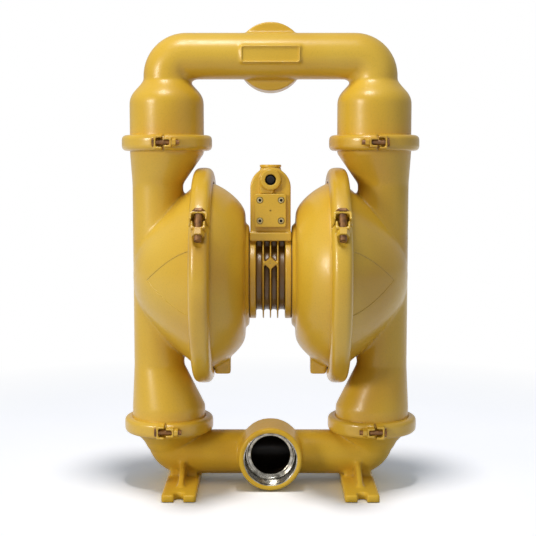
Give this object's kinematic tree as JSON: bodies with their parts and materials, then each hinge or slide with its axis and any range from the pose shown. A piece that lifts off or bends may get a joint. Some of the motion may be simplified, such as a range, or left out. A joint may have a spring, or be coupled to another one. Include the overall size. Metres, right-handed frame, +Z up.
{
  "type": "air operated diaphragm pump",
  "caption": "Air operated double diaphragm pump with clamped painted metal chambers, ball valves, threaded ports and slotted feet.",
  "frame": {"origin": "middle of the foot plates' underside, under the middle of the pump", "axes": "+Z up, -Y towards the inlet side, X along the diaphragm shaft"},
  "size_m": [0.515, 0.3752, 0.8044],
  "materials": {
    "paint": "semi-gloss",
    "fastener_steel": "satin",
    "gasket_fibre": "matte",
    "bronze": "machined",
    "aluminium": "hard anodised",
    "muffler_plastic": "moulded",
    "ground_steel": "ground",
    "piston_steel": "machined",
    "rubber": "matte",
    "seat_steel": "machined"
  },
  "bodies": {
    "housing": {"outlet_manifold": "paint", "inlet_manifold": "paint", "liquid_chamber_left": "paint", "liquid_chamber_right": "paint", "air_chamber_left": "paint", "air_chamber_right": "paint", "centre_block": "paint", "valve_cover_plate": "paint", "valve_cap": "paint", "large_clamp_left_upper": "paint", "large_clamp_left_lower": "paint", "large_clamp_right_upper": "paint", "large_clamp_right_lower": "paint", "inlet_clamp_left_inner": "paint", "inlet_clamp_left_outer": "paint", "inlet_clamp_right_inner": "paint", "inlet_clamp_right_outer": "paint", "outlet_clamp_left_inner": "paint", "outlet_clamp_left_outer": "paint", "outlet_clamp_right_inner": "paint", "outlet_clamp_right_outer": "paint", "large_clamp_bolts": "fastener_steel", "large_clamp_nuts": "fastener_steel", "small_clamp_bolts": "fastener_steel", "small_clamp_nuts": "fastener_steel", "valve_cover_screws": "fastener_steel", "air_chamber_screws_left": "fastener_steel", "air_chamber_screws_right": "fastener_steel", "valve_cover_gasket": "gasket_fibre", "centre_gasket_left": "gasket_fibre", "centre_gasket_right": "gasket_fibre", "valve_sleeve": "bronze", "exhaust_muffler": "muffler_plastic", "diaphragm_left": "rubber", "diaphragm_right": "rubber", "shaft_bushing_left": "bronze", "shaft_bushing_right": "bronze", "shaft_seals": "rubber", "seat_seals": "rubber", "inlet_seat_left": "seat_steel", "inlet_seat_right": "seat_steel", "outlet_seat_left": "seat_steel", "outlet_seat_right": "seat_steel"},
    "shaft_assembly": {"shaft": "ground_steel", "inner_piston_left": "piston_steel", "inner_piston_right": "piston_steel", "outer_piston_left": "piston_steel", "outer_piston_right": "piston_steel"},
    "valve_spool": {"valve_spool": "aluminium"},
    "inlet_ball_left": {"inlet_ball_left": "rubber"},
    "inlet_ball_right": {"inlet_ball_right": "rubber"},
    "outlet_ball_left": {"outlet_ball_left": "rubber"},
    "outlet_ball_right": {"outlet_ball_right": "rubber"}
  },
  "joints": [
    {"name": "shaft_slide", "type": "slide", "parent": "housing", "child": "shaft_assembly", "axis": [1, 0, 0], "range_m": [-0.022, 0.022], "deforming": ["diaphragm_left", "diaphragm_right"]},
    {"name": "spool_slide", "type": "slide", "parent": "housing", "child": "valve_spool", "axis": [0, 0, 1], "range_m": [0, 0.016]},
    {"name": "inlet_ball_left_lift", "type": "slide", "parent": "housing", "child": "inlet_ball_left", "axis": [0, 0, 1], "range_m": [0, 0.018]},
    {"name": "inlet_ball_right_lift", "type": "slide", "parent": "housing", "child": "inlet_ball_right", "axis": [0, 0, 1], "range_m": [0, 0.018]},
    {"name": "outlet_ball_left_lift", "type": "slide", "parent": "housing", "child": "outlet_ball_left", "axis": [0, 0, 1], "range_m": [0, 0.018]},
    {"name": "outlet_ball_right_lift", "type": "slide", "parent": "housing", "child": "outlet_ball_right", "axis": [0, 0, 1], "range_m": [0, 0.018]}
  ]
}
